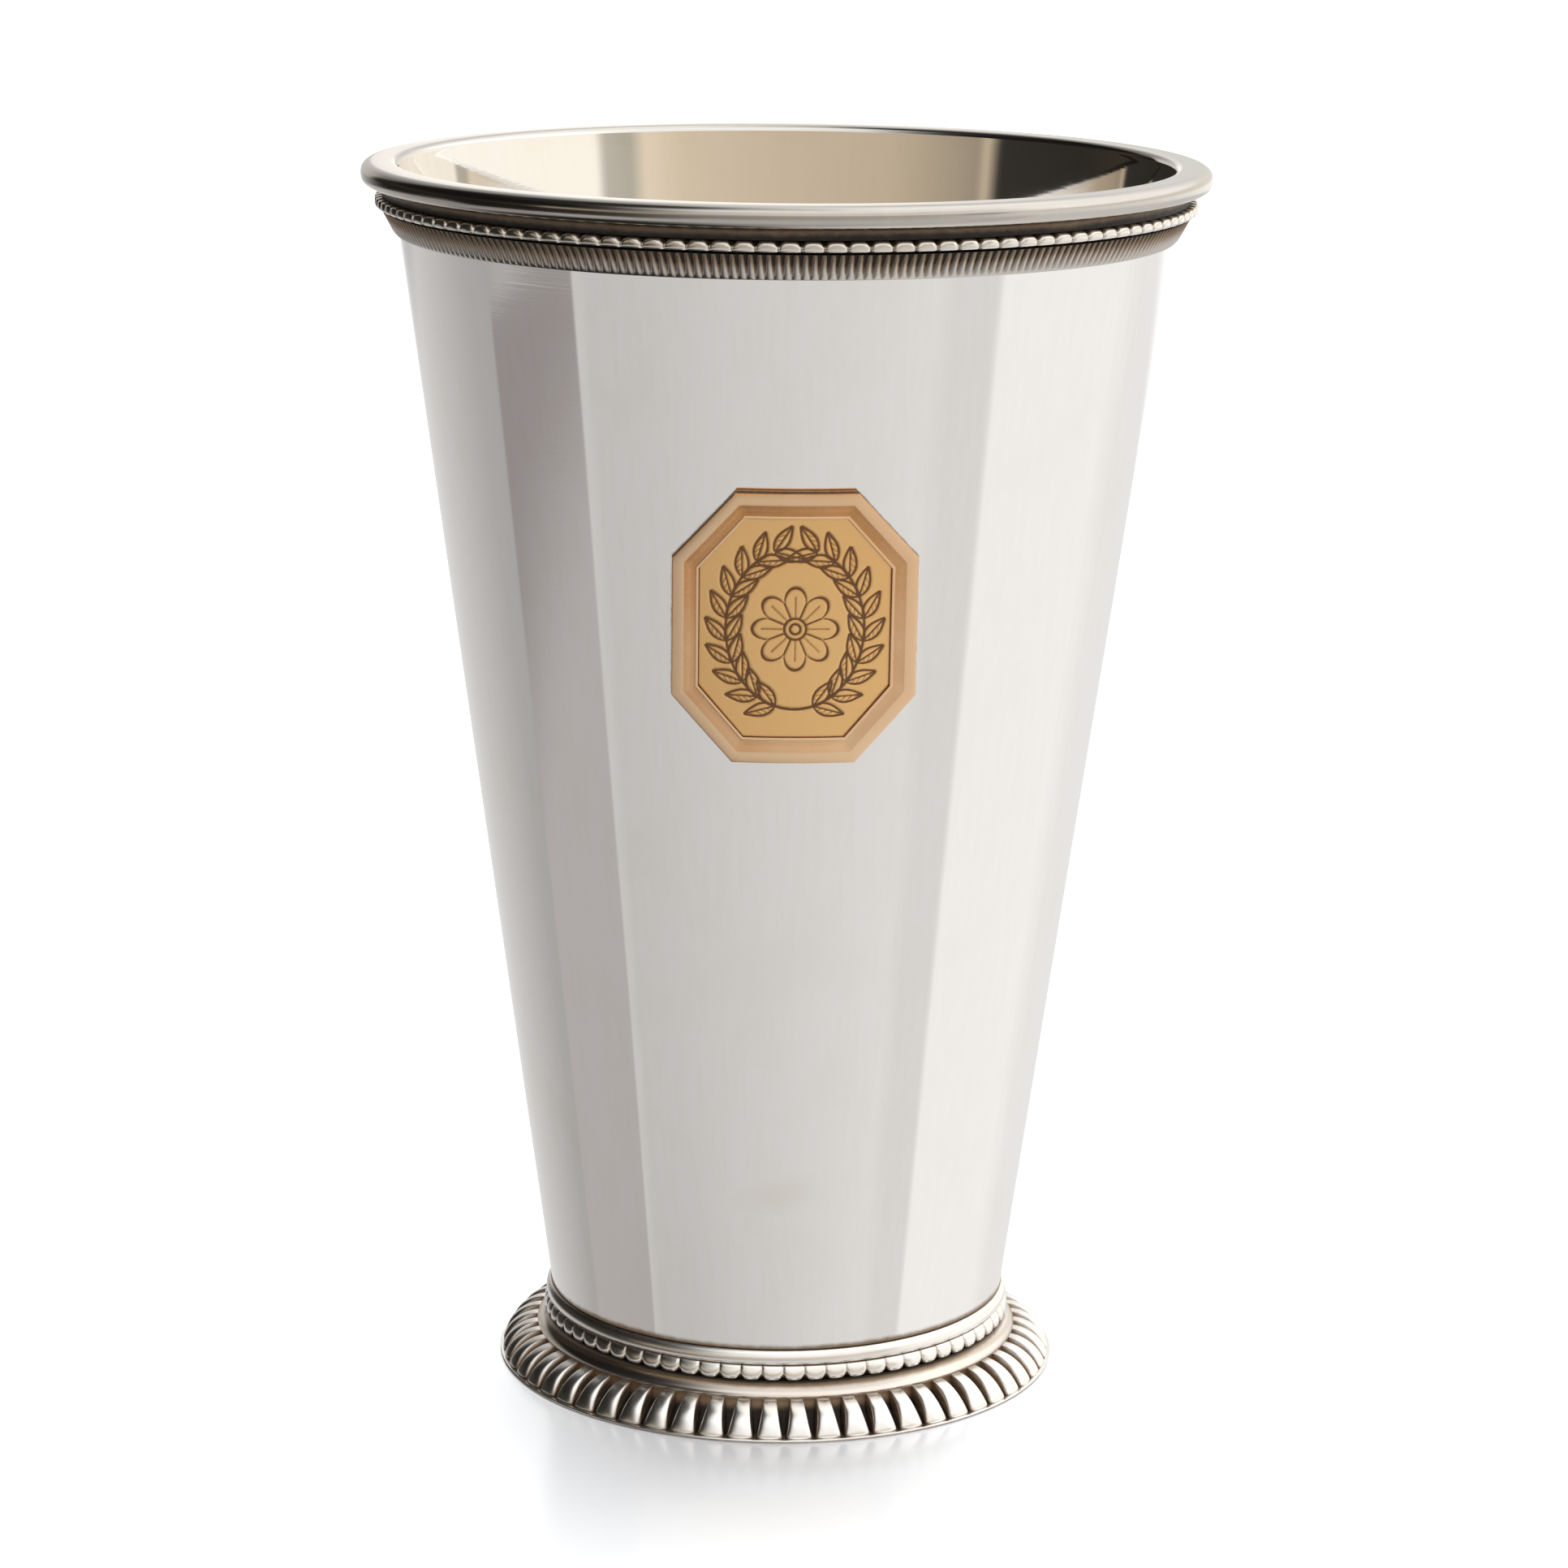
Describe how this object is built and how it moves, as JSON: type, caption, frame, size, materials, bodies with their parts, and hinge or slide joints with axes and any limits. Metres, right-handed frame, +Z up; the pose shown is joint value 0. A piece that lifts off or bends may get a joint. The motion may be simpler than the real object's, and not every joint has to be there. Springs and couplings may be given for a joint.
{
  "type": "silver beaker",
  "caption": "Tall conical drinking beaker with a beaded and fluted rim, a spreading gadrooned foot and an eight-sided framed plaque on its front.",
  "frame": {"origin": "centre of the foot's underside, on the ground", "axes": "+Z up the axis of the cup, -Y out through the plaque on the front"},
  "size_m": [0.102, 0.102, 0.15],
  "materials": {
    "silver": "polished silver",
    "patina_silver": "polished high points over dark patina",
    "gold": "satin gold"
  },
  "bodies": {
    "root": {"body_wall": "silver", "body_floor": "silver", "rim_lip": "silver", "rim_cavetto": "patina_silver", "rim_bead_wire": "patina_silver", "rim_fluted_band": "patina_silver", "foot_collar": "silver", "foot_bead_wire": "patina_silver", "foot_band": "silver", "foot_gadroon_ring": "patina_silver", "foot_base_wire": "silver", "plaque_plate": "gold", "plaque_frame": "gold"}
  },
  "joints": []
}
